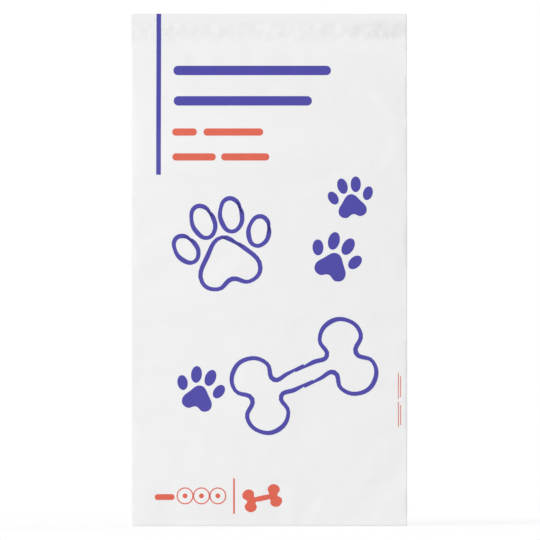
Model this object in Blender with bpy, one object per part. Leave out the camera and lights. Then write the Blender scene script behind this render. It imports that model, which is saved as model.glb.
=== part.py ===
# A paper sack of pet food, filled and sealed.
#
# The sack is a paper tube with a gusset down each side. Its bottom is folded into a flat block base, and its
# top is pinched flat, folded over to the back and glued down. It stands on its base with its front to -Y,
# and the origin is under the middle of the sack.
#
# The body is one loft of closed rings, stacked from the base to the top fold. A ring runs round the sack from
# the front's left corner: front panel, right gusset, back panel, left gusset. Paper keeps its width when it
# folds, so where the front and back panels draw together, each gusset's centre crease goes in by just as much
# as the width of the half gusset demands.

import math

import bmesh
import bpy

# Sack, in metres
WIDTH = 0.256
DEPTH = 0.098
HEIGHT = 0.477

# Panels of the filled sack
FRONT_CROWN = 0.0040
BACK_CROWN = 0.0050
SHOULDER_CROWN = 0.0045
CROWN_START = 0.045
EDGE_FOLD = 0.0007

# Gussets
GUSSET_DIP = 0.0060
GUSSET_BELLY = 0.0008

# Long wrinkles of the back and the gussets. Each wave has a length across, a length up, a phase and a share.
BACK_WRINKLE = 0.0030
GUSSET_WRINKLE = 0.0022
WRINKLE_FADE = 0.030
WAVES = (
    (0.170, 0.130, 0.6, 0.34),
    (-0.105, 0.088, 2.1, 0.30),
    (0.390, 0.071, 4.4, 0.20),
    (0.066, -0.240, 1.2, 0.16),
)

# Shoulders, where the full sack narrows to its flat top
SHOULDER_HEIGHT = 0.128

# Closure: the flat top band and the flap folded over behind it
BAND_HEIGHT = 0.031
BAND_FLARE = 0.0009
GUSSET_SLIT = 0.0012
FLAP_THICKNESS = 0.0014
FLAP_CLEARANCE = 0.002

# Back seam, where the two edges of the paper tube overlap
SEAM_OFFSET = 0.032
SEAM_WIDTH = 0.018
SEAM_STEP = 0.0005

# Block base: two long flaps with ends folded in at 45 degrees
BASE_LAP = 0.024
BASE_PLY = 0.0006
BASE_INSET = 0.0012

# How finely the rings are divided
FRONT_PARTS = 24
HALF_GUSSET_PARTS = 8
BODY_STEP = 0.012
SHOULDER_RINGS = 24

PAPER_COLOUR = (0.86, 0.86, 0.86, 1.0)
PAPER_ROUGHNESS = 0.55

BASE_Z = 2 * BASE_PLY
BAND_Z = HEIGHT - BAND_HEIGHT
SHOULDER_Z = BAND_Z - SHOULDER_HEIGHT
FLAP_Z = BAND_Z + FLAP_CLEARANCE
HALF_GUSSET = DEPTH / 2
HALF_BAND = GUSSET_SLIT / 2 + EDGE_FOLD
TOP_RADIUS = 0.4 * (2 * HALF_BAND + FLAP_THICKNESS)


def clear_scene():
    for thing in list(bpy.data.objects):
        bpy.data.objects.remove(thing, do_unlink=True)


def make_collection(name):
    collection = bpy.data.collections.new(name)
    bpy.context.scene.collection.children.link(collection)
    return collection


def paper_material():
    material = bpy.data.materials.new("paper")
    material.use_nodes = True
    surface = material.node_tree.nodes["Principled BSDF"]
    surface.inputs["Base Color"].default_value = PAPER_COLOUR
    surface.inputs["Roughness"].default_value = PAPER_ROUGHNESS
    surface.inputs["Metallic"].default_value = 0.0
    return material


def smooth(t):
    t = min(max(t, 0.0), 1.0)
    return t * t * (3 - 2 * t)


def fold_angle(z):
    """How far the gusset has folded at height z: 0 where the sack is full, a right angle at the band."""
    t = min(max((z - SHOULDER_Z) / SHOULDER_HEIGHT, 0.0), 1.0)
    return math.pi / 2 * (0.75 * t + 0.25 * smooth(t))


def half_depth(z):
    """Distance from the middle plane to the front and back corners at height z."""
    return HALF_BAND + (HALF_GUSSET - HALF_BAND) * math.cos(fold_angle(z))


def crown(z, full_crown):
    """How far a panel's middle stands out from the line between its corners."""
    if z >= BAND_Z:
        return 0.0
    filled = full_crown * (1 - math.exp(-z / CROWN_START))
    at_shoulder = SHOULDER_CROWN * math.sin(2 * fold_angle(z))
    return (filled + at_shoulder) * math.sqrt(math.cos(fold_angle(z)))


def across(x):
    """Shape of a crowned panel from corner to corner: 0 at the corners and 1 in the middle."""
    return 1 - (2 * x / WIDTH) ** 2


def seam_height(x):
    """The overlap of the tube's edges: a cut edge on one side, a soft ramp over the hidden edge."""
    outer = SEAM_OFFSET - SEAM_WIDTH / 2
    hidden = SEAM_OFFSET + SEAM_WIDTH / 2
    if x < outer or x > hidden:
        return 0.0
    return SEAM_STEP * min(1.0, (hidden - x) / (SEAM_WIDTH / 4))


def wrinkle(s, z):
    """Height of the paper's long wrinkles at s across and z up, between -1 and 1."""
    waves = (share * math.sin(2 * math.pi * (s / wide + z / high) + phase) for wide, high, phase, share in WAVES)
    return sum(waves) * smooth(z / WRINKLE_FADE) * smooth((BAND_Z - z) / WRINKLE_FADE)


def back_wrinkle(x, z):
    """The back's wrinkles, which die out towards the folds at its two sides."""
    return BACK_WRINKLE * wrinkle(x, z) * smooth((WIDTH / 2 - abs(x)) / WRINKLE_FADE)


def even_places(start, end, parts):
    return [start + (end - start) * i / parts for i in range(parts + 1)]


def panel_places():
    half = WIDTH / 2 - EDGE_FOLD
    return even_places(-half, half, FRONT_PARTS)


def back_places():
    """Places across the back, with two extra close together at the seam's cut edge."""
    outer = SEAM_OFFSET - SEAM_WIDTH / 2
    hidden = SEAM_OFFSET + SEAM_WIDTH / 2
    extra = [outer - SEAM_STEP, outer, hidden - SEAM_WIDTH / 4, hidden]
    spacing = WIDTH / FRONT_PARTS
    kept = [x for x in panel_places() if min(abs(x - e) for e in extra) > spacing / 3]
    return sorted(kept + extra)


def gusset_point(side, u, z):
    """A point of a gusset. u runs from -1 at the front corner, over 0 at the centre crease, to 1 at the back."""
    angle = fold_angle(z)
    mouth = half_depth(z) - EDGE_FOLD
    dip = GUSSET_DIP * min(z / HALF_GUSSET, 1 - abs(u))
    pulled = (HALF_GUSSET - EDGE_FOLD) * math.sin(angle) * (1 - abs(u))
    inset = dip * math.cos(angle) ** 2 + pulled
    middle_of_half = 4 * abs(u) * (1 - abs(u)) * math.cos(angle) ** 2
    belly = GUSSET_BELLY * smooth(z / DEPTH) + GUSSET_WRINKLE * wrinkle(side * WIDTH + u * HALF_GUSSET, z)
    return side * (WIDTH / 2 - inset + belly * middle_of_half), u * mouth


def top_round(z):
    """How far the outer face draws in as it rolls over the top fold."""
    rise = z - (HEIGHT - TOP_RADIUS)
    if rise <= 0:
        return 0.0
    return TOP_RADIUS - math.sqrt(max(TOP_RADIUS ** 2 - rise ** 2, 0.0))


def flare(z):
    """The flat band is a little wider than the full sack."""
    return BAND_FLARE * smooth((z - BAND_Z + BAND_HEIGHT / 4) / (BAND_HEIGHT / 2))


def base_draw(z):
    """The lowest ring draws in by the radius of the base's folded edge."""
    return EDGE_FOLD if z <= BASE_Z else 0.0


def body_ring(z):
    deep = half_depth(z) - base_draw(z)
    wide = 1 - 2 * base_draw(z) / WIDTH
    front = [(x, -deep - crown(z, FRONT_CROWN) * across(x)) for x in panel_places()]
    full = crown(z, BACK_CROWN)
    back = [(x, deep + full * across(x) + back_wrinkle(x, z) + seam_height(x)) for x in reversed(back_places())]
    steps = even_places(-1, 1, 2 * HALF_GUSSET_PARTS)
    right = [gusset_point(1, u, z) for u in steps]
    left = [gusset_point(-1, -u, z) for u in steps]
    return [(x * wide, y, z) for x, y in front + right + back + left]


def band_ring(z, flap):
    """A ring of the flat closure. The slit between the folded gussets is shut, so the ends are plain.

    flap is the thickness of the flap behind the band at this height, or 0 below it. The flap's outer face is
    the front panel, folded over, so it covers the back seam.
    """
    front_y = -HALF_BAND + top_round(z)
    back_y = HALF_BAND + flap - top_round(z)
    wide = 1 + flare(z) / WIDTH
    shift = -flare(z) / 2
    front = [(x, front_y) for x in panel_places()]
    back = [(x, back_y + (0.0 if flap else seam_height(x))) for x in reversed(back_places())]
    corner = min(EDGE_FOLD, (back_y - front_y) / 4)
    steps = even_places(front_y + corner, back_y - corner, 2 * HALF_GUSSET_PARTS)
    right = [(WIDTH / 2, y) for y in steps]
    left = [(-WIDTH / 2, y) for y in reversed(steps)]
    return [(x * wide + shift, y, z) for x, y in front + right + back + left]


def ring_heights():
    """Heights of the body's rings: fine over the base's fold, where the diagonal creases meet the grid."""
    low = even_places(0, HALF_GUSSET, HALF_GUSSET_PARTS)[1:]
    count = max(1, round((SHOULDER_Z - HALF_GUSSET) / BODY_STEP))
    middle = even_places(HALF_GUSSET, SHOULDER_Z, count)[1:]
    shoulder = even_places(SHOULDER_Z, BAND_Z, SHOULDER_RINGS)[1:]
    return [BASE_Z, BASE_Z + EDGE_FOLD] + low + middle + shoulder


def all_rings():
    rings = [body_ring(z) for z in ring_heights()]
    rings.append(band_ring(BAND_Z + EDGE_FOLD, 0.0))
    rings.append(band_ring(FLAP_Z, 0.0))
    rings.append(band_ring(FLAP_Z + EDGE_FOLD / 2, FLAP_THICKNESS))
    rings += [band_ring(z, FLAP_THICKNESS) for z in even_places(FLAP_Z, HEIGHT - TOP_RADIUS, 3)[1:]]
    for turn in (30, 60, 90):
        z = HEIGHT - TOP_RADIUS * (1 - math.sin(math.radians(turn)))
        rings.append(band_ring(z, FLAP_THICKNESS))
    return rings


def loft(name, rings, collection):
    """Join closed rings of equally many points, low to high, and close both ends."""
    shape = bmesh.new()
    layers = [[shape.verts.new(point) for point in ring] for ring in rings]
    for low, high in zip(layers, layers[1:]):
        for i in range(len(low)):
            j = (i + 1) % len(low)
            shape.faces.new((low[i], low[j], high[j], high[i]))
    shape.faces.new(list(reversed(layers[0])))
    shape.faces.new(layers[-1])
    mesh = bpy.data.meshes.new(name)
    shape.to_mesh(mesh)
    shape.free()
    thing = bpy.data.objects.new(name, mesh)
    collection.objects.link(thing)
    return thing


def base_flap(name, side, low, collection):
    """One long flap of the base, as a flat outline. side is -1 for the front flap and 1 for the back flap."""
    edge_x = WIDTH / 2 - BASE_INSET
    edge_y = DEPTH / 2 - BASE_INSET
    reach = edge_y + BASE_LAP / 2
    corners = [(-edge_x, edge_y), (edge_x, edge_y), (edge_x - reach, edge_y - reach), (reach - edge_x, edge_y - reach)]
    curve = bpy.data.curves.new(name, "CURVE")
    curve.dimensions = "2D"
    curve.fill_mode = "BOTH"
    thickness = BASE_Z - low + BASE_PLY
    curve.extrude = thickness / 2
    line = curve.splines.new("POLY")
    line.points.add(len(corners) - 1)
    for point, (x, y) in zip(line.points, corners):
        point.co = (x, side * y, 0, 1)
    line.use_cyclic_u = True
    outline = bpy.data.objects.new(name, curve)
    collection.objects.link(outline)
    outline.location.z = low + thickness / 2
    return to_mesh(outline, collection)


def to_mesh(outline, collection):
    """Turn a filled curve into a closed mesh object in its place."""
    bpy.context.view_layer.update()
    solid = outline.evaluated_get(bpy.context.evaluated_depsgraph_get())
    mesh = bpy.data.meshes.new_from_object(solid)
    shape = bmesh.new()
    shape.from_mesh(mesh)
    bmesh.ops.remove_doubles(shape, verts=shape.verts, dist=0.00001)
    bmesh.ops.recalc_face_normals(shape, faces=shape.faces)
    shape.to_mesh(mesh)
    shape.free()
    name = outline.name
    thing = bpy.data.objects.new(name, mesh)
    collection.objects.link(thing)
    thing.matrix_world = outline.matrix_world
    bpy.data.objects.remove(outline, do_unlink=True)
    thing.name = name
    thing.hide_render = True
    thing.display_type = "WIRE"
    return thing


def join(body, other):
    union = body.modifiers.new(other.name, "BOOLEAN")
    union.operation = "UNION"
    union.solver = "EXACT"
    union.object = other


def build():
    clear_scene()
    sack = make_collection("pet_food_bag")
    tools = make_collection("joined_pieces")
    bag = loft("bag", all_rings(), sack)
    join(bag, base_flap("front_base_flap", -1, BASE_PLY, tools))
    join(bag, base_flap("back_base_flap", 1, 0.0, tools))
    bag.data.materials.append(paper_material())
    bag.data.shade_smooth()
    bag.data.set_sharp_from_angle(angle=math.radians(25))


build()
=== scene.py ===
# %% [markdown]
# # A paper sack of pet food
#
# The real thing is a tube of white paper with a gusset down each side. It stands on a folded block base, its
# top is pinched flat and folded over to the back, and its front carries blue and coral ink. The solid sack is
# already modelled at its real size, so this lesson dresses it: creased paper, ink, light and a camera.

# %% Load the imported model
import math
import bmesh
import bpy
import numpy as np
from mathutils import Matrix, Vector


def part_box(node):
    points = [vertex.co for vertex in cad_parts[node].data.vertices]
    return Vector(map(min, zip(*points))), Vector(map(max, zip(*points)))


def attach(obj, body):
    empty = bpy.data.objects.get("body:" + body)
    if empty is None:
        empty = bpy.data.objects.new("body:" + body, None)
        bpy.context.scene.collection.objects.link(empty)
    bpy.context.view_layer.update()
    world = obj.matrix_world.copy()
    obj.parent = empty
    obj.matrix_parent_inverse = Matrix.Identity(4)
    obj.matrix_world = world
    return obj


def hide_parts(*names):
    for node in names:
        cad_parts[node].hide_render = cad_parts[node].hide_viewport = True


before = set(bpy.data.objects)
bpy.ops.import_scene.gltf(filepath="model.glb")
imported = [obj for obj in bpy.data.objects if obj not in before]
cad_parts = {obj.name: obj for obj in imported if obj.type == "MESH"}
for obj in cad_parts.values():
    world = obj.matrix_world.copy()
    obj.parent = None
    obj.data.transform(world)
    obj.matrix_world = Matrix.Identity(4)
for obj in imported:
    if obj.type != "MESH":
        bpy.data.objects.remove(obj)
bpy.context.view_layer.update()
SACK_LOW, SACK_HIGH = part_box("bag")
SACK_HEIGHT = SACK_HIGH.z
HALF_WIDTH = SACK_HIGH.x
print("sack, in mm:", [round(1000 * side, 1) for side in SACK_HIGH - SACK_LOW])

# %% [markdown]
# ## The camera
#
# The photograph looks straight at the front, and the sack's sides run parallel in it, as through a very long
# lens. So the camera stands far off with a lens to match. How wide it sees follows from the sack's height in
# pixels, and the same two numbers turn any pixel of the photograph into a place on the front panel.

# %% Place the camera
PHOTO_SIDE = 540
TOP_PIXEL = 13.1
BASE_PIXEL = 526.2
MIDDLE_PIXEL = 269.45
PIXEL = SACK_HEIGHT / (BASE_PIXEL - TOP_PIXEL)
CAMERA_DISTANCE = 20.0


def place(x, y):
    """The point of the front, in metres across and up, that a pixel of the photograph shows."""
    return (x - MIDDLE_PIXEL) * PIXEL, (BASE_PIXEL - y) * PIXEL


camera_x, camera_z = place(PHOTO_SIDE / 2, PHOTO_SIDE / 2)
camera_y = SACK_LOW.y - CAMERA_DISTANCE
bpy.ops.object.camera_add(location=(camera_x, camera_y, camera_z), rotation=(math.pi / 2, 0, 0))
camera = bpy.context.object
camera.data.lens = camera.data.sensor_width * CAMERA_DISTANCE / (PHOTO_SIDE * PIXEL)
camera.data.clip_end = 2 * CAMERA_DISTANCE
bpy.context.scene.camera = camera
print("one pixel is", round(1000 * PIXEL, 3), "mm, and the lens is", round(camera.data.lens), "mm")

# %% [markdown]
# ## The light
#
# White paper on white needs even light, or it turns grey and loses its edges. The world lights it from all
# round, a large soft lamp stands far off to the front left, and a weaker one lights the back. The lamps are
# far away, so that the top and the foot of the sack are equally bright. Rays that miss everything see white.

# %% Light the studio
WHITE = (1, 1, 1, 1)
AMBIENT = 0.70
sack_middle = Vector((0, 0, SACK_HEIGHT / 2))


def math_node(tree, operation, *values):
    """The result of a new Math node. Each of its values is a number or another node's output."""
    node = tree.nodes.new("ShaderNodeMath")
    node.operation = operation
    for socket, value in zip(node.inputs, values):
        if isinstance(value, float):
            socket.default_value = value
        else:
            tree.links.new(value, socket)
    return node.outputs["Value"]


def seen_rays(tree):
    """A mask for the rays of a picture: straight from the camera, in a gloss, or through glass."""
    rays = tree.nodes.new("ShaderNodeLightPath").outputs
    seen = math_node(tree, "MAXIMUM", rays["Is Camera Ray"], rays["Is Glossy Ray"])
    return math_node(tree, "MAXIMUM", seen, rays["Is Transmission Ray"])


def white_world():
    world = bpy.data.worlds.new("studio")
    bpy.context.scene.world = world
    world.use_nodes = True
    tree = world.node_tree
    nodes, links = tree.nodes, tree.links
    nodes.clear()
    ambient = nodes.new("ShaderNodeBackground")
    ambient.inputs["Color"].default_value = WHITE
    ambient.inputs["Strength"].default_value = AMBIENT
    backdrop = nodes.new("ShaderNodeBackground")
    backdrop.inputs["Color"].default_value = WHITE
    mix = nodes.new("ShaderNodeMixShader")
    out = nodes.new("ShaderNodeOutputWorld")
    links.new(seen_rays(tree), mix.inputs["Fac"])
    links.new(ambient.outputs["Background"], mix.inputs[1])
    links.new(backdrop.outputs["Background"], mix.inputs[2])
    links.new(mix.outputs["Shader"], out.inputs["Surface"])


def soft_lamp(name, location, size, power):
    bpy.ops.object.light_add(type="AREA", location=location)
    lamp = bpy.context.object
    lamp.name = name
    lamp.data.size = size
    lamp.data.energy = power
    lamp.rotation_euler = (sack_middle - lamp.location).to_track_quat("-Z", "Y").to_euler()


white_world()
soft_lamp("window_light", (-4.5, -5.8, 2.4), size=2.8, power=215)
soft_lamp("fill_light", (4.6, 3.6, 3.0), size=2.0, power=45)
bpy.context.scene.view_settings.view_transform = "Standard"

# %% [markdown]
# ## The floor
#
# The floor is pale and takes the sack's shadow. To the eye it is brighter than its light makes it, and away
# from the sack it fades to plain white, so that it meets the backdrop with no horizon. To the sack it is
# only as bright as the world.

# %% Lay the floor
FLOOR_SIDE = 14.0
FLOOR_COLOUR = (0.45, 0.45, 0.45, 1)
FLOOR_GLOW = 0.31
FLOOR_LIFT = 0.23
FADE_START = 0.35
FADE_END = 0.95


def pale_floor():
    pale = bpy.data.materials.new("pale_floor")
    pale.use_nodes = True
    tree = pale.node_tree
    nodes, links = tree.nodes, tree.links
    surface = nodes["Principled BSDF"]
    surface.inputs["Base Color"].default_value = FLOOR_COLOUR
    surface.inputs["Roughness"].default_value = 0.9
    surface.inputs["Emission Color"].default_value = WHITE
    seen = seen_rays(tree)
    links.new(math_node(tree, "MULTIPLY_ADD", seen, FLOOR_LIFT, FLOOR_GLOW), surface.inputs["Emission Strength"])
    where = nodes.new("ShaderNodeTexCoord")
    distance = nodes.new("ShaderNodeVectorMath")
    distance.operation = "LENGTH"
    fade = nodes.new("ShaderNodeMapRange")
    fade.interpolation_type = "SMOOTHSTEP"
    fade.inputs["From Min"].default_value = FADE_START
    fade.inputs["From Max"].default_value = FADE_END
    white = nodes.new("ShaderNodeEmission")
    links.new(math_node(tree, "MULTIPLY_ADD", seen, 1 - AMBIENT, AMBIENT), white.inputs["Strength"])
    mix = nodes.new("ShaderNodeMixShader")
    links.new(where.outputs["Object"], distance.inputs[0])
    links.new(distance.outputs["Value"], fade.inputs["Value"])
    links.new(fade.outputs["Result"], mix.inputs["Fac"])
    links.new(surface.outputs["BSDF"], mix.inputs[1])
    links.new(white.outputs["Emission"], mix.inputs[2])
    links.new(mix.outputs["Shader"], nodes["Material Output"].inputs["Surface"])
    return pale


bpy.ops.mesh.primitive_plane_add(size=FLOOR_SIDE)
floor = bpy.context.object
floor.name = "floor"
floor.data.materials.append(pale_floor())
print("floor side, in m:", FLOOR_SIDE)

# %% [markdown]
# ## The sack
#
# The modelled solid has every fold in its place, but its panels are too smooth for paper that has been
# filled and shipped. So its mesh is copied and welded, its triangles become quads, and its folds are marked
# as creases. Subdivision then keeps the folds crisp and gives the panels room to wrinkle. The fold round the
# foot comes down to the floor, as paper does when it is wrapped round the plies of a block base.

# %% Copy and weld the solid
FOLD_ANGLE = math.radians(24)
SOFT_REACH = 0.008
BODY_HALF = 0.1282
BODY_HALF_DEPTH = 0.049
BASE_TOP = 0.003
FOOT_FOLD = 0.0011
FOOT_GAP = 0.00015
FOOT_OUT = 0.0003
BAND_LOW = SACK_HEIGHT - 0.031
BAND_MARGIN = 0.0002
BAND_SNAP = 0.0004
BAND_CELL = 0.0055
ROWS = int((SACK_HEIGHT - BAND_LOW) / BAND_CELL)


def only(thing):
    """Make one object the selected and active one."""
    bpy.ops.object.select_all(action="DESELECT")
    thing.select_set(True)
    bpy.context.view_layer.objects.active = thing


def band_faces(shape):
    return [face for face in shape.faces if all(vertex.co.z > BAND_LOW - BAND_MARGIN for vertex in face.verts)]


def column_places(shape):
    """Where the front's columns of vertices end at the foot of the band."""
    spots = [vertex.co for vertex in shape.verts]
    foot = [spot for spot in spots if spot.y < 0 and abs(spot.z - BAND_LOW) < BAND_MARGIN]
    places = []
    for x in sorted(spot.x for spot in foot):
        if not places or x - places[-1] > 4 * BAND_SNAP:
            places.append(x)
    return places


def grid_band(thing):
    """Cut the band's faces along a grid. They come as a few large ones, which could take no dents."""
    shape = bmesh.new()
    shape.from_mesh(thing.data)
    band = set(band_faces(shape))
    inner = [edge for edge in shape.edges if len(edge.link_faces) == 2 and band.issuperset(edge.link_faces)]
    bmesh.ops.dissolve_limit(shape, angle_limit=math.radians(1), verts=[], edges=inner)
    cuts = [(Vector((x, 0, 0)), Vector((1, 0, 0))) for x in column_places(shape)[1:-1]]
    cuts += [(Vector((0, 0, BAND_LOW + row * BAND_CELL)), Vector((0, 0, 1))) for row in range(1, ROWS)]
    for point, normal in cuts:
        faces = band_faces(shape)
        edges = {edge for face in faces for edge in face.edges}
        corners = {corner for face in faces for corner in face.verts}
        parts = [*faces, *edges, *corners]
        bmesh.ops.bisect_plane(shape, geom=parts, dist=BAND_SNAP, plane_co=point, plane_no=normal)
    shape.to_mesh(thing.data)
    shape.free()
    print("columns in the band:", len(cuts) - ROWS + 2)


def welded_copy(node, name):
    """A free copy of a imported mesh: welded, in quads where it can be, and with a fine grid on its band."""
    copy = bpy.data.objects.new(name, node.data.copy())
    bpy.context.scene.collection.objects.link(copy)
    copy.data.materials.clear()
    only(copy)
    bpy.ops.mesh.customdata_custom_splitnormals_clear()
    bpy.ops.object.mode_set(mode="EDIT")
    bpy.ops.mesh.select_all(action="SELECT")
    bpy.ops.mesh.remove_doubles(threshold=0.00001)
    bpy.ops.mesh.tris_convert_to_quads(face_threshold=math.radians(40), shape_threshold=math.radians(180))
    bpy.ops.object.mode_set(mode="OBJECT")
    grid_band(copy)
    return copy


def lower_foot(thing):
    """Bring the fold round the foot down to the floor, so that it hides the plies of the base."""
    for vertex in thing.data.vertices:
        spot = vertex.co
        beyond_x = abs(spot.x) > BODY_HALF - FOOT_FOLD
        beyond_y = abs(spot.y) > BODY_HALF_DEPTH - FOOT_FOLD
        if spot.z > BASE_TOP or not (beyond_x or beyond_y):
            continue
        if spot.z > BASE_TOP / 2:
            spot.z -= FOOT_FOLD
        else:
            spot.z = FOOT_GAP
            spot.x += math.copysign(FOOT_OUT, spot.x) * beyond_x
            spot.y += math.copysign(FOOT_OUT, spot.y) * beyond_y


def soft_bend(edge):
    """The front bends into the flat band without a sharp fold."""
    low, high = (vertex.co for vertex in edge.verts)
    middle = (low + high) / 2
    return abs(middle.z - BAND_LOW) < SOFT_REACH and middle.y < 0 and abs(low.z - high.z) < SOFT_REACH / 4


def crease_folds(thing):
    """Give every sharp edge of a mesh a full crease, and return the vertices on them."""
    shape = bmesh.new()
    shape.from_mesh(thing.data)
    layers = shape.edges.layers.float
    crease = layers.get("crease_edge") or layers.new("crease_edge")
    on_folds = set()
    for edge in shape.edges:
        sharp = edge.calc_face_angle(0) > FOLD_ANGLE and not soft_bend(edge)
        edge[crease] = float(sharp)
        if sharp:
            on_folds.update(vertex.index for vertex in edge.verts)
    shape.to_mesh(thing.data)
    shape.free()
    return on_folds


def apply_all(thing):
    only(thing)
    for modifier in list(thing.modifiers):
        bpy.ops.object.modifier_apply(modifier=modifier.name)


def subdivide(thing):
    modifier = thing.modifiers.new("subdivision", "SUBSURF")
    modifier.levels = 1
    modifier.render_levels = 1
    apply_all(thing)


sack = welded_copy(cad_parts["bag"], "paper_sack")
lower_foot(sack)
crease_folds(sack)
print("welded sack:", len(sack.data.polygons), "faces")
subdivide(sack)
print("subdivided sack:", len(sack.data.polygons), "faces")

# %% [markdown]
# ## Wrinkles
#
# Paper hardly stretches. It buckles, because there is always a little more of it than the filled shape needs.
# A cloth simulation does the same when its threads rest a little longer than they are modelled. The folds
# themselves are pinned, as glue and creases hold them. The simulation also bulges each panel as a whole, but
# the panels' bulge is modelled already, so only the shorter waves are kept. They are held small on the front,
# and smaller still where two layers lie close, so that no layer shows through another.

# %% Pin the folds


def pinned_vertices(thing):
    """All that stays where it is: the folds, the flat band and the base."""
    pinned = crease_folds(thing)
    for vertex in thing.data.vertices:
        if vertex.co.z > BAND_LOW or vertex.co.z < BASE_TOP:
            pinned.add(vertex.index)
    return sorted(pinned)


pinned = pinned_vertices(sack)
sack.vertex_groups.new(name="pinned").add(pinned, 1.0, "REPLACE")
print("pinned", len(pinned), "of", len(sack.data.vertices), "vertices")

# %% Let the paper buckle
FRAMES = 24
SLACK = 0.014
PRESSURE = 0.5


def positions(mesh):
    flat = np.empty(3 * len(mesh.vertices))
    mesh.vertices.foreach_get("co", flat)
    return flat.reshape(-1, 3)


def buckled(thing):
    """Where a short cloth simulation takes each vertex of a mesh."""
    cloth = thing.modifiers.new("buckling", "CLOTH")
    cloth.settings.quality = 6
    cloth.settings.mass = 0.15
    cloth.settings.tension_stiffness = 40
    cloth.settings.compression_stiffness = 40
    cloth.settings.shear_stiffness = 20
    cloth.settings.bending_stiffness = 4
    cloth.settings.use_pressure = True
    cloth.settings.uniform_pressure_force = PRESSURE
    cloth.settings.shrink_min = -SLACK
    cloth.settings.vertex_group_mass = "pinned"
    cloth.settings.effector_weights.gravity = 0
    cloth.collision_settings.use_collision = False
    cloth.point_cache.frame_start = 1
    cloth.point_cache.frame_end = FRAMES
    for step in range(1, FRAMES + 1):
        bpy.context.scene.frame_set(step)
    places = positions(thing.evaluated_get(bpy.context.evaluated_depsgraph_get()).to_mesh())
    thing.modifiers.remove(cloth)
    bpy.context.scene.frame_set(1)
    return places


# %% Count steps from the folds


def edge_ends(thing):
    return np.array([edge.vertices[:] for edge in thing.data.edges])


def away_from(thing, start, reach):
    """A share for each vertex: 0 on some vertices, rising to 1 where they are a number of edges away."""
    edges = edge_ends(thing)
    steps = np.full(len(thing.data.vertices), reach)
    steps[list(start)] = 0
    for _ in range(reach):
        onward = np.minimum(steps[edges[:, 0]], steps[edges[:, 1]]) + 1
        np.minimum.at(steps, edges[:, 0], onward)
        np.minimum.at(steps, edges[:, 1], onward)
    share = steps / reach
    return share * share * (3 - 2 * share)


print("vertices well clear of the folds:", int((away_from(sack, pinned, 3) == 1).sum()))

# %% Keep the short waves
SMOOTHING = 60
FRONT_FACING = -0.6
FRONT_PLAY = 0.0004
SIDE_PLAY = 0.0018
ROOM = 0.012
SKIN = 0.00005
TINY = 1e-9


def short_waves(thing, moves):
    """What is left of a field of moves after its smooth part, which is zero on the pins, is taken off."""
    edges = edge_ends(thing)
    neighbours = np.bincount(edges.ravel(), minlength=len(moves))[:, None]
    smooth = moves.copy()
    for _ in range(SMOOTHING):
        around = np.zeros_like(smooth)
        np.add.at(around, edges[:, 0], smooth[edges[:, 1]])
        np.add.at(around, edges[:, 1], smooth[edges[:, 0]])
        smooth = around / neighbours
        smooth[pinned] = 0
    return moves - smooth


def room_shares(thing):
    """A share for each vertex: 1 in the open, and less where another layer of paper lies close to it."""
    shares = []
    for vertex in thing.data.vertices:
        nearest = ROOM
        for way in (vertex.normal, -vertex.normal):
            hit, spot, _, _ = thing.ray_cast(vertex.co + SKIN * way, way, distance=ROOM)
            if hit:
                nearest = min(nearest, (spot - vertex.co).length)
        shares.append(nearest / ROOM)
    return np.array(shares)


def settle(thing, moves):
    """Move vertices, each no further than its panel and the layers round it allow."""
    plays = [FRONT_PLAY if vertex.normal.y < FRONT_FACING else SIDE_PLAY for vertex in thing.data.vertices]
    for vertex, limit, move in zip(thing.data.vertices, plays * room_shares(thing), moves):
        length = max(float(np.linalg.norm(move)), TINY)
        vertex.co += Vector(move) * (limit * math.tanh(length / max(limit, TINY)) / length)


moves = short_waves(sack, buckled(sack) - positions(sack.data))
print("longest short wave, in mm:", round(1000 * float(np.abs(moves).max()), 1))
settle(sack, moves * away_from(sack, pinned, 3)[:, None])
crease_folds(sack)
subdivide(sack)
print("buckled sack:", len(sack.data.polygons), "faces")

# %% [markdown]
# ## Dents
#
# Handling leaves finer marks: shallow facets where the paper was pressed, and a row of small dents in the
# closed band, where the glue behind it holds the paper unevenly. Displace modifiers with procedural textures
# make both, and a vertex group says how much of them each point takes.

# %% Say where the dents go
FRONT_SHARE = 0.16
FACETS_LOW = 0.02
DENT_FADE = 0.010
FOLD_STEPS = 4
GLUE_LOW = SACK_HEIGHT - 0.027
GLUE_HIGH = SACK_HEIGHT - 0.007
GLUE_RISE = 0.004
GLUE_SIDE = 0.003
END_START = 0.05


def ramp(value, start, end):
    t = min(max((value - start) / (end - start), 0.0), 1.0)
    return t * t * (3 - 2 * t)


def panel_share(place, facing):
    """Facets: full on the sides and the back, faint on the front, none on edges, band and base."""
    share = FRONT_SHARE if facing.y < FRONT_FACING else 1.0
    return share * ramp(place.z, BASE_TOP, FACETS_LOW) * ramp(BAND_LOW - place.z, 0, DENT_FADE)


def glue_share(place, facing):
    """Glue dents: on the band's front, strongest towards its right end, and as strong on the back."""
    inside = ramp(place.z, GLUE_LOW, GLUE_LOW + GLUE_RISE) * ramp(GLUE_HIGH - place.z, 0, GLUE_RISE)
    end = 1.0 if facing.y > 0 else ramp(place.x, END_START, HALF_WIDTH)
    return inside * ramp(HALF_WIDTH - abs(place.x), 0, GLUE_SIDE) * (0.7 + 0.3 * end)


def share_group(thing, name, share, most):
    """A vertex group with a share for each vertex, and no more than a given most."""
    group = thing.vertex_groups.new(name=name)
    for vertex, limit in zip(thing.data.vertices, most):
        weight = limit * share(vertex.co, vertex.normal)
        if weight > 0:
            group.add([vertex.index], weight, "REPLACE")


off_folds = away_from(sack, crease_folds(sack), FOLD_STEPS)
share_group(sack, "panels", panel_share, off_folds * room_shares(sack))
share_group(sack, "glue", glue_share, off_folds)
print("dent groups:", [group.name for group in sack.vertex_groups])

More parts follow.
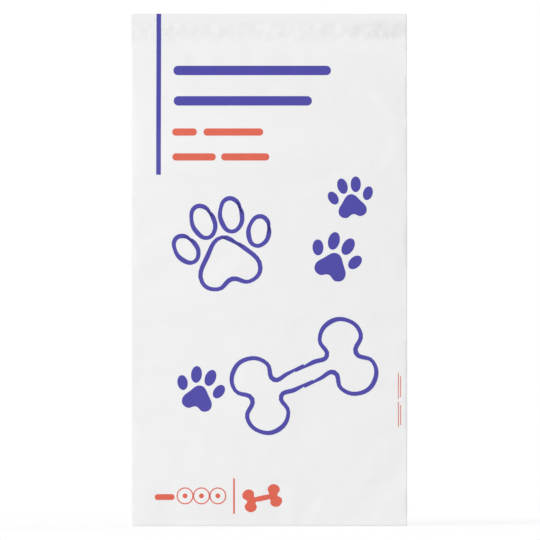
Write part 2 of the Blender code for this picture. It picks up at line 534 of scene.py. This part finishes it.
# %% Press the dents
FRONT_SIDE = -0.04
PRESS_Z = 0.1255
PRESS_LEFT = 0.025
PRESS_FADE = 0.010
PRESS_REACH = 0.0045
PRESS_DEPTH = 0.0004


def press_line(thing):
    """A faint level crease on the front's right side, where the sack was once bent."""
    for vertex in thing.data.vertices:
        spot = vertex.co
        if spot.y < FRONT_SIDE:
            along = ramp(spot.x, PRESS_LEFT, PRESS_LEFT + 2 * PRESS_FADE) * ramp(HALF_WIDTH - spot.x, 0, PRESS_FADE)
            spot.y += PRESS_DEPTH * along * math.exp(-(((spot.z - PRESS_Z) / PRESS_REACH) ** 2))


def dent(thing, name, kind, size, depth, group):
    """Move a mesh in and out by a procedural texture, as far as a vertex group lets it."""
    pattern = bpy.data.textures.new(name, kind)
    pattern.noise_scale = size
    modifier = thing.modifiers.new(name, "DISPLACE")
    modifier.texture = pattern
    modifier.texture_coords = "LOCAL"
    modifier.strength = depth
    modifier.mid_level = 0.5
    modifier.vertex_group = group


dent(sack, "broad_facets", "VORONOI", 0.042, 0.0040, "panels")
dent(sack, "fine_facets", "VORONOI", 0.017, 0.0012, "panels")
dent(sack, "glue_dents", "CLOUDS", 0.012, 0.0026, "glue")
dent(sack, "glue_specks", "CLOUDS", 0.006, 0.0012, "glue")
apply_all(sack)
press_line(sack)
for vertex in sack.data.vertices:
    if vertex.co.z < BAND_LOW:
        vertex.co.x = min(max(vertex.co.x, -BODY_HALF), BODY_HALF)
for group in list(sack.vertex_groups):
    sack.vertex_groups.remove(group)
only(sack)
bpy.ops.object.shade_smooth_by_angle(angle=math.radians(40))
print("dented sack spans", [round(1000 * side, 1) for side in sack.dimensions], "mm")

# %% [markdown]
# ## Paper
#
# White sack paper is matt and even. Close up it shows a cloudy pulp, fine fibres and small crumples, and the
# kibble inside prints through as soft bumps. In the closed band, painted shade darkens it in specks, most at
# its right end, in place of the shade of its dents and fold. Ink lies so thin on the paper that it takes the
# same marks, so they are made once, as a node group that every finish uses.

# %% Build the paper group
BLACK = (0, 0, 0, 1)
CRUMPLE_HEIGHT = 0.00022
CREASE_HEIGHT = 0.00006
KIBBLE_HEIGHT = 0.00016
FIBRE_HEIGHT = 0.000012
# Painted shade: the closed band is darkened in specks, most at its right end, for the shade of its dents and fold.
PAINTED_SHADE_FADE = 0.008
BAND_PAINTED_SHADE = 0.034
END_PAINTED_SHADE = 0.036
END_FULL = 0.11
END_SPREAD = 0.16
SPECKS_START = 0.40
SPECKS_FULL = 0.68


def add(tree, kind, **values):
    """A new node with some of its input sockets set."""
    node = tree.nodes.new(kind)
    for socket, value in values.items():
        node.inputs[socket].default_value = value
    return node


def between(tree, value, start, end):
    """A mask that rises from 0 to 1 as a value goes from start to end."""
    node = tree.nodes.new("ShaderNodeMapRange")
    node.interpolation_type = "SMOOTHSTEP"
    node.inputs["From Min"].default_value = start
    node.inputs["From Max"].default_value = end
    tree.links.new(value, node.inputs["Value"])
    return node.outputs["Result"]


def band_painted_shade(tree, where):
    """How much darker the closed band is painted, as painted shade for its dents and fold: in specks, most of them at
    its right end.
    """
    split = tree.nodes.new("ShaderNodeSeparateXYZ")
    tree.links.new(where, split.inputs["Vector"])
    above = between(tree, split.outputs["Z"], GLUE_LOW, GLUE_LOW + PAINTED_SHADE_FADE)
    below = between(tree, split.outputs["Z"], GLUE_HIGH + PAINTED_SHADE_FADE / 2, GLUE_HIGH - PAINTED_SHADE_FADE / 2)
    end = between(tree, split.outputs["X"], END_START, END_FULL)
    specks = add(tree, "ShaderNodeTexNoise", Scale=62.0, Detail=4.0, Roughness=0.72)
    tree.links.new(where, specks.inputs["Vector"])
    spread = math_node(tree, "MULTIPLY_ADD", end, END_SPREAD, specks.outputs["Fac"])
    painted_specks = between(tree, spread, SPECKS_START, SPECKS_FULL)
    painted_specks = math_node(tree, "MULTIPLY", painted_specks, math_node(tree, "MULTIPLY", above, below))
    return math_node(tree, "MULTIPLY", painted_specks, math_node(tree, "MULTIPLY_ADD", end, END_PAINTED_SHADE, BAND_PAINTED_SHADE))


def paper_group():
    """Node group: a tint, darker by the pulp's clouds and by painted shade in the band, and the height of the paper's
    bumps in metres.
    """
    tree = bpy.data.node_groups.new("pressed_paper", "ShaderNodeTree")
    tree.interface.new_socket("Tint", in_out="INPUT", socket_type="NodeSocketColor")
    tree.interface.new_socket("Cloud", in_out="INPUT", socket_type="NodeSocketFloat")
    tree.interface.new_socket("Color", in_out="OUTPUT", socket_type="NodeSocketColor")
    tree.interface.new_socket("Height", in_out="OUTPUT", socket_type="NodeSocketFloat")
    given = tree.nodes.new("NodeGroupInput").outputs
    result = tree.nodes.new("NodeGroupOutput").inputs
    where = tree.nodes.new("ShaderNodeTexCoord").outputs["Object"]
    clouds = add(tree, "ShaderNodeTexNoise", Scale=75.0, Detail=5.0, Roughness=0.65)
    crumples = add(tree, "ShaderNodeTexVoronoi", Scale=62.0)
    creases = add(tree, "ShaderNodeTexVoronoi", Scale=150.0)
    kibble = add(tree, "ShaderNodeTexVoronoi", Scale=88.0)
    kibble.feature = "SMOOTH_F1"
    kibble.inputs["Smoothness"].default_value = 1.0
    fibres = add(tree, "ShaderNodeTexNoise", Scale=1300.0, Detail=2.0)
    for texture in (clouds, crumples, creases, kibble, fibres):
        tree.links.new(where, texture.inputs["Vector"])
    height = math_node(tree, "MULTIPLY", crumples.outputs["Distance"], CRUMPLE_HEIGHT)
    height = math_node(tree, "MULTIPLY_ADD", creases.outputs["Distance"], CREASE_HEIGHT, height)
    height = math_node(tree, "MULTIPLY_ADD", kibble.outputs["Distance"], -KIBBLE_HEIGHT, height)
    height = math_node(tree, "MULTIPLY_ADD", fibres.outputs["Fac"], FIBRE_HEIGHT, height)
    tree.links.new(height, result["Height"])
    darker = tree.nodes.new("ShaderNodeMix")
    darker.data_type = "RGBA"
    darker.inputs["B"].default_value = BLACK
    # The pulp's clouds darken the tint, and painted shade darkens the closed band.
    depth = math_node(tree, "MULTIPLY_ADD", clouds.outputs["Fac"], given["Cloud"], band_painted_shade(tree, where))
    tree.links.new(depth, darker.inputs["Factor"])
    tree.links.new(given["Tint"], darker.inputs["A"])
    tree.links.new(darker.outputs["Result"], result["Color"])
    return tree


pressed_paper = paper_group()
print("paper group puts out", [item.name for item in pressed_paper.interface.items_tree if item.in_out == "OUTPUT"])

# %% Make the finishes
PAPER_WHITE = (0.884, 0.884, 0.884, 1)
BLUE_INK = (0.056, 0.047, 0.368, 1)
CORAL_INK = (0.743, 0.119, 0.068, 1)


def finish(name, tint, roughness, cloud):
    """A matt finish on pressed paper: a tint, darkened a little by the pulp and by painted shade in the band, on the
    paper's bumps.
    """
    material = bpy.data.materials.new(name)
    material.use_nodes = True
    tree = material.node_tree
    surface = tree.nodes["Principled BSDF"]
    surface.inputs["Roughness"].default_value = roughness
    group = tree.nodes.new("ShaderNodeGroup")
    group.node_tree = pressed_paper
    group.inputs["Tint"].default_value = tint
    group.inputs["Cloud"].default_value = cloud
    bump = add(tree, "ShaderNodeBump", Distance=1.0, Strength=1.0)
    tree.links.new(group.outputs["Color"], surface.inputs["Base Color"])
    tree.links.new(group.outputs["Height"], bump.inputs["Height"])
    tree.links.new(bump.outputs["Normal"], surface.inputs["Normal"])
    return material


white_paper = finish("white_paper", PAPER_WHITE, roughness=0.62, cloud=0.034)
blue_ink = finish("blue_ink", BLUE_INK, roughness=0.48, cloud=0.06)
coral_ink = finish("coral_ink", CORAL_INK, roughness=0.48, cloud=0.06)
sack.data.materials.append(white_paper)
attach(sack, "root")
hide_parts("bag")
print("finishes:", [material.name for material in (white_paper, blue_ink, coral_ink)])

# %% [markdown]
# ## Ink
#
# The marks are printed on the flat sheet before it is folded, so they are drawn flat here too: bars, rings,
# discs and brush strokes in one plane. They are cut into small cells, stood upright and wrapped onto the
# paper, and they stand off it by a fraction of a millimetre. Real outlines stay sharp however close the
# camera comes, which a painted mask in the paper's own finish would not.

# %% Draw flat shapes


def settle_flat(piece):
    """Put an object's place and size into its mesh."""
    only(piece)
    bpy.ops.object.transform_apply(location=True, rotation=True, scale=True)
    return piece


def bar(left, right, top, bottom, rounding=0.0):
    """A bar between pixels of the photograph, with its corners rounded by a number of pixels."""
    low_x, low_y = place(left, bottom)
    high_x, high_y = place(right, top)
    bpy.ops.mesh.primitive_plane_add(size=1, location=((low_x + high_x) / 2, (low_y + high_y) / 2, 0))
    piece = bpy.context.object
    piece.scale = (high_x - low_x, high_y - low_y, 1)
    settle_flat(piece)
    if rounding:
        bpy.ops.object.mode_set(mode="EDIT")
        bpy.ops.mesh.select_all(action="SELECT")
        bpy.ops.mesh.bevel(offset=rounding * PIXEL, affect="VERTICES", segments=6)
        bpy.ops.object.mode_set(mode="OBJECT")
    return piece


def disc(x, y, wide, high=None, turn=0.0):
    """A filled ellipse. Its half axes are in pixels, and turn is in degrees, counter-clockwise."""
    across, up = place(x, y)
    bpy.ops.mesh.primitive_circle_add(vertices=40, radius=1, fill_type="NGON", location=(across, up, 0))
    piece = bpy.context.object
    piece.scale = (wide * PIXEL, (high or wide) * PIXEL, 1)
    piece.rotation_euler.z = math.radians(turn)
    return settle_flat(piece)


def ring(x, y, radius, line):
    piece = disc(x, y, radius + line / 2)
    bpy.ops.object.mode_set(mode="EDIT")
    bpy.ops.mesh.select_all(action="SELECT")
    bpy.ops.mesh.inset(thickness=line * PIXEL)
    bpy.ops.mesh.delete(type="FACE")
    bpy.ops.object.mode_set(mode="OBJECT")
    return piece


def smooth_curve(points, name, closed):
    """A curve with automatic handles through pixels of the photograph, drawn flat."""
    curve = bpy.data.curves.new(name, "CURVE")
    line = curve.splines.new("BEZIER")
    line.bezier_points.add(len(points) - 1)
    line.use_cyclic_u = closed
    line.resolution_u = 5
    for knot, (x, y) in zip(line.bezier_points, points):
        knot.co = (*place(x, y), 0)
        knot.handle_left_type = "AUTO"
        knot.handle_right_type = "AUTO"
    thing = bpy.data.objects.new(name, curve)
    bpy.context.scene.collection.objects.link(thing)
    return thing


def to_mesh(thing):
    only(thing)
    bpy.ops.object.convert(target="MESH")
    return bpy.context.object


def patch(points):
    """A filled shape inside a smooth closed outline."""
    thing = smooth_curve(points, "patch", True)
    thing.data.dimensions = "2D"
    thing.data.fill_mode = "BOTH"
    return to_mesh(thing)


def brush(points, width):
    """A brush stroke: a flat ribbon whose width swells a little and thins at its ends."""
    thing = smooth_curve(points, "stroke", False)
    thing.data.dimensions = "3D"
    thing.data.extrude = width * PIXEL / 2
    knots = thing.data.splines[0].bezier_points
    for step, knot in enumerate(knots):
        knot.tilt = math.pi / 2
        from_end = min(step, len(knots) - 1 - step)
        knot.radius = (1 + 0.15 * math.sin(2.4 * step + width)) * min(1.0, 0.35 + from_end)
    return to_mesh(thing)


print("drawing tools are ready")

# %% Wrap a print onto the paper
CELL = 0.002
INK_HEIGHT = 0.00015
INK_THICKNESS = 0.00019
CORNER = 0.0016
FOLD_CELL = 0.0005
REACH = 1.0


def on_paper(x, height):
    """Where a place of the flat print lands: on the front, round the top fold, or down the flap behind."""
    beyond = height - (SACK_HEIGHT - CORNER)
    turn = min(max(beyond / CORNER, 0.0), math.pi)
    back = max(beyond - math.pi * CORNER, 0.0)
    aim = Vector((x, TOP_Y if beyond > 0 else 0.0, min(height, SACK_HEIGHT - CORNER) - back))
    outward = Vector((0, -math.cos(turn), math.sin(turn)))
    _, spot, facing, _ = sack.ray_cast(aim + REACH * outward, -outward)
    return spot + INK_HEIGHT * facing


def spaced(low, high, cell):
    """Places between two ends, a cell apart."""
    return [low + cut * cell for cut in range(1, math.ceil((high - low) / cell))]


def cut_into_cells(piece):
    """Cut a flat mesh along a grid, which is finer where it bends round the top fold."""
    low, high = Vector(piece.bound_box[0]), Vector(piece.bound_box[6])
    rows = spaced(low.y, high.y, CELL)
    if high.y > SACK_HEIGHT:
        rows += spaced(SACK_HEIGHT - CORNER, SACK_HEIGHT + 2 * CORNER, FOLD_CELL)
    cuts = [((x, 0, 0), (1, 0, 0)) for x in spaced(low.x, high.x, CELL)] + [((0, y, 0), (0, 1, 0)) for y in rows]
    bpy.ops.object.mode_set(mode="EDIT")
    for point, normal in cuts:
        bpy.ops.mesh.select_all(action="SELECT")
        bpy.ops.mesh.bisect(plane_co=point, plane_no=normal)
    bpy.ops.object.mode_set(mode="OBJECT")


def face_up(piece):
    """Turn every face of a flat print the same way, towards the viewer."""
    shape = bmesh.new()
    shape.from_mesh(piece.data)
    for face in shape.faces:
        face.normal_update()
        if face.normal.z < 0:
            face.normal_flip()
    shape.to_mesh(piece.data)
    shape.free()


def wrap_print(shapes, name, ink):
    """Join flat shapes into one print, press it onto the paper and give it thickness."""
    only(shapes[0])
    for shape in shapes:
        shape.select_set(True)
    bpy.ops.object.join()
    piece = bpy.context.object
    piece.name = name
    piece.data.materials.clear()
    piece.data.materials.append(ink)
    face_up(piece)
    cut_into_cells(piece)
    for vertex in piece.data.vertices:
        vertex.co = on_paper(vertex.co.x, vertex.co.y)
    film = piece.modifiers.new("film", "SOLIDIFY")
    film.thickness = INK_THICKNESS
    film.offset = -1
    apply_all(piece)
    bpy.ops.object.shade_smooth_by_angle(angle=math.radians(40))
    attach(piece, "root")
    print(name, "has", len(piece.data.polygons), "faces")
    return piece


_, top_spot, _, _ = sack.ray_cast(Vector((0, 0, REACH)), Vector((0, 0, -1)))
TOP_Y = top_spot.y
print("the top fold's middle lies", round(1000 * TOP_Y, 1), "mm behind the sack's middle")

# %% [markdown]
# ## What the print shows
#
# Bars stand where a pack has its lines of words. The picture is a bone and paw prints, in loose brush strokes
# and solid patches. A blue rule runs up the left, over the top fold and down the flap to its cut edge. Coral
# rings, a rule and a small bone fill the foot.

# %% Draw the blue print
LINE = 4.3
RULE_TOP = TOP_PIXEL - 33.2


def turned(points, x, y, turn, size=1.0):
    """Scale points, turn them about the origin by degrees, counter-clockwise, and move them to a pixel."""
    cosine, sine = size * math.cos(math.radians(turn)), size * math.sin(math.radians(turn))
    return [(x + u * cosine - v * sine, y - u * sine - v * cosine) for u, v in points]


def bone_end(length):
    """One end of a bone's outline, for knobs of radius 1: from the waist round both knobs to the waist."""
    knob_u, knob_v = length / 2 - 1, 0.85
    upper = [(0.3 * knob_u, 0.42)]
    for angle in map(math.radians, (205, 155, 100, 45, -8)):
        upper.append((knob_u + math.cos(angle), knob_v + math.sin(angle)))
    return upper + [(knob_u + 0.42, 0)] + [(u, -v) for u, v in reversed(upper)]


def bone_line(x, y, length, knob, turn):
    """A bone in two brush strokes, one round each end, that meet loosely along the waist."""
    end = [(-0.3, 0.36)] + bone_end(length / knob) + [(-0.2, -0.50)]
    other = [(-u, -v) for u, v in end]
    return [brush(turned(points, x, y, turn, knob), LINE) for points in (end, other)]


def bone_patch(x, y, length, knob, turn):
    end = bone_end(length / knob)
    return patch(turned(end + [(-u, -v) for u, v in end], x, y, turn, knob))


PAD = (
    (-1.0, -0.45), (-0.62, 0.35), (0.0, 0.85), (0.62, 0.35),
    (1.0, -0.45), (0.55, -0.80), (0.0, -0.58), (-0.55, -0.80),
)
TOES = (
    (-1.25, 0.75, 0.34, 0.50, 24),
    (-0.48, 1.50, 0.36, 0.56, 8),
    (0.48, 1.50, 0.36, 0.56, -8),
    (1.25, 0.75, 0.34, 0.50, -24),
)


def paw_patch(x, y, size, turn):
    """A solid paw print: a main pad and four toes, sized by the main pad's half width in pixels."""
    shapes = [patch(turned(PAD, x, y, turn, size))]
    for u, v, wide, high, lean in TOES:
        (toe_x, toe_y), = turned([(u, v)], x, y, turn, size)
        shapes.append(disc(toe_x, toe_y, wide * size, high * size, turn + lean))
    return shapes


def paw_line(x, y, size, turn):
    """The same paw print in brush strokes, each a little more than once round."""
    loops = [list(PAD[2:]) + list(PAD[:4])]
    for u, v, wide, high, lean in TOES:
        round_toe = [(wide * math.cos(0.9 * step), high * math.sin(0.9 * step)) for step in range(9)]
        loops.append(turned([(a, -b) for a, b in round_toe], u, v, -lean))
    return [brush(turned(loop, x, y, turn, size), LINE) for loop in loops]


blue = [bar(173.2, 331.0, 65.4, 74.8, 4.6), bar(173.6, 311.9, 96.0, 105.4, 4.6)]
blue += [bar(156.2, 160.8, RULE_TOP, 174.7)]
blue += bone_line(304, 376, 138, 21, 24)
blue += paw_line(228, 262, 30, 14)
blue += paw_patch(332, 266, 16, -22) + paw_patch(352, 206, 14, 8) + paw_patch(198, 398, 15, -14)
print("blue shapes:", len(blue))
blue_print = wrap_print(blue, "blue_print", blue_ink)

# %% Draw the coral print
coral = [bar(172.2, 196.8, 128.4, 135.6, 3.4), bar(203.5, 263.1, 128.4, 135.6, 3.4)]
coral += [bar(172.4, 215.7, 153.3, 160.5, 3.4), bar(221.2, 269.2, 153.3, 160.5, 3.4)]
coral.append(bar(154.8, 174.5, 494.2, 500.0, 2.6))
for x in (185.0, 201.4, 217.8):
    coral.append(ring(x, 495.9, 7.9, 1.1))
    coral.append(disc(x, 495.9, 2.4))
coral.append(bar(233.2, 234.8, 478.3, 513.7))
coral.append(bone_patch(262.2, 498.2, 38, 6.2, 12))
for top, bottom in ((373.0, 399.0), (402.0, 427.0)):
    coral.append(bar(398.0, 398.7, top, bottom))
    coral.append(bar(400.2, 400.9, top + 3, bottom - 2))
coral_print = wrap_print(coral, "coral_print", coral_ink)
